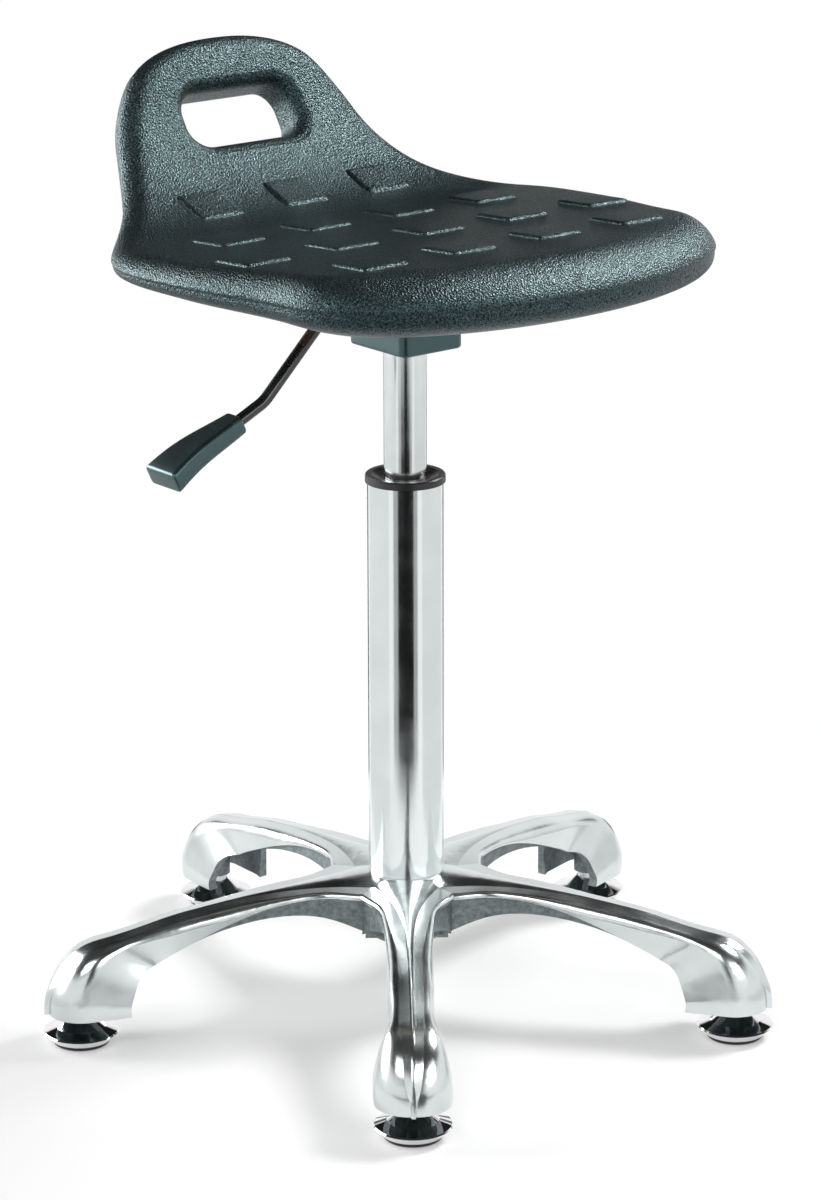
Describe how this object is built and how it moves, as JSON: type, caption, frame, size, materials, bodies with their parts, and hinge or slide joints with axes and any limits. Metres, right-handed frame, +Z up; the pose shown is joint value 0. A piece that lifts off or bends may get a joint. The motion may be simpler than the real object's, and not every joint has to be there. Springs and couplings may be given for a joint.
{
  "type": "work chair",
  "caption": "Height-adjustable swivel work chair: moulded seat with raised pads and a grip-hole handle, gas column, release lever and a star base on swivel glides.",
  "frame": {"origin": "On the floor, under the axis of the column.", "axes": "+Z is up along the column, the chair faces -Y with the handle at +Y, and the release lever is on the -X side, which is the sitter's right when facing -Y."},
  "size_m": [0.4777, 0.4615, 0.6217],
  "materials": {
    "tube_chrome": "bright chrome plate on steel tube",
    "cylinder_chrome": "bright chrome plate with fine draw lines",
    "glide_chrome": "bright chrome plate on a pressed dished cap",
    "plain_steel": "bright turned steel",
    "polished_casting": "polished upper faces, rough cast web and underside",
    "cage_brass": "pressed brass",
    "collar_plastic": "dark moulded plastic",
    "black_paint": "semi-gloss black paint on pressed steel",
    "lever_metal": "dark grey coating on steel rod",
    "grip_plastic": "dark grey moulded plastic, fine texture",
    "black_rubber": "matt black rubber",
    "insert_wood": "plain plywood",
    "seat_skin": "black self-skinned polyurethane with a fine leather-like grain"
  },
  "bodies": {
    "base": {"base_casting": "polished_casting", "outer_tube": "tube_chrome", "column_collar": "collar_plastic", "guide_bush": "collar_plastic", "column_end_plate": "plain_steel", "lower_race": "plain_steel"},
    "rod": {"piston_rod": "plain_steel", "piston": "plain_steel", "piston_ring": "black_rubber", "rubber_bumper": "black_rubber", "upper_race": "plain_steel", "ball_cage": "cage_brass", "thrust_balls": "plain_steel", "retaining_clip": "plain_steel"},
    "seat": {"gas_cylinder": "cylinder_chrome", "rod_guide": "plain_steel", "taper_socket": "plain_steel", "mechanism_housing": "black_paint", "mechanism_plate": "black_paint", "mechanism_bolts": "plain_steel", "seat_insert_board": "insert_wood", "t_nuts": "plain_steel", "lever_pivot_pin": "plain_steel", "seat_moulding": "seat_skin"},
    "lever": {"lever_rod": "lever_metal", "lever_grip": "grip_plastic"},
    "button": {"valve_button": "plain_steel"},
    "glide_1": {"glide_cap_1": "glide_chrome", "glide_pad_1": "black_rubber", "glide_stem_1": "plain_steel"},
    "glide_2": {"glide_cap_2": "glide_chrome", "glide_pad_2": "black_rubber", "glide_stem_2": "plain_steel"},
    "glide_3": {"glide_cap_3": "glide_chrome", "glide_pad_3": "black_rubber", "glide_stem_3": "plain_steel"},
    "glide_4": {"glide_cap_4": "glide_chrome", "glide_pad_4": "black_rubber", "glide_stem_4": "plain_steel"},
    "glide_5": {"glide_cap_5": "glide_chrome", "glide_pad_5": "black_rubber", "glide_stem_5": "plain_steel"}
  },
  "joints": [
    {"name": "swivel", "type": "hinge", "parent": "base", "child": "rod", "pos_m": [0, 0, 0.05], "axis": [0, 0, 1], "continuous": true},
    {"name": "height", "type": "slide", "parent": "rod", "child": "seat", "axis": [0, 0, 1], "range_m": [-0.05, 0.15]},
    {"name": "lever_lift", "type": "hinge", "parent": "seat", "child": "lever", "pos_m": [-0.02, 0, 0.477], "axis": [0, 1, 0], "range_deg": [0, 7], "stiffness_Nm_per_rad": 2},
    {"name": "valve_press", "type": "slide", "parent": "seat", "child": "button", "axis": [0, 0, -1], "range_m": [0, 0.003]},
    {"name": "glide_1_swivel", "type": "hinge", "parent": "base", "child": "glide_1", "pos_m": [0.12566, -0.18664, 0.02], "axis": [0, 0, 1], "continuous": true},
    {"name": "glide_2_swivel", "type": "hinge", "parent": "base", "child": "glide_2", "pos_m": [0.21634, 0.06183, 0.02], "axis": [0, 0, 1], "continuous": true},
    {"name": "glide_3_swivel", "type": "hinge", "parent": "base", "child": "glide_3", "pos_m": [0.00805, 0.22486, 0.02], "axis": [0, 0, 1], "continuous": true},
    {"name": "glide_4_swivel", "type": "hinge", "parent": "base", "child": "glide_4", "pos_m": [-0.21136, 0.07714, 0.02], "axis": [0, 0, 1], "continuous": true},
    {"name": "glide_5_swivel", "type": "hinge", "parent": "base", "child": "glide_5", "pos_m": [-0.13868, -0.17718, 0.02], "axis": [0, 0, 1], "continuous": true}
  ],
  "couplings": [
    {"joint": "valve_press", "follows": "lever_lift", "m_per_rad": 0.0235}
  ]
}
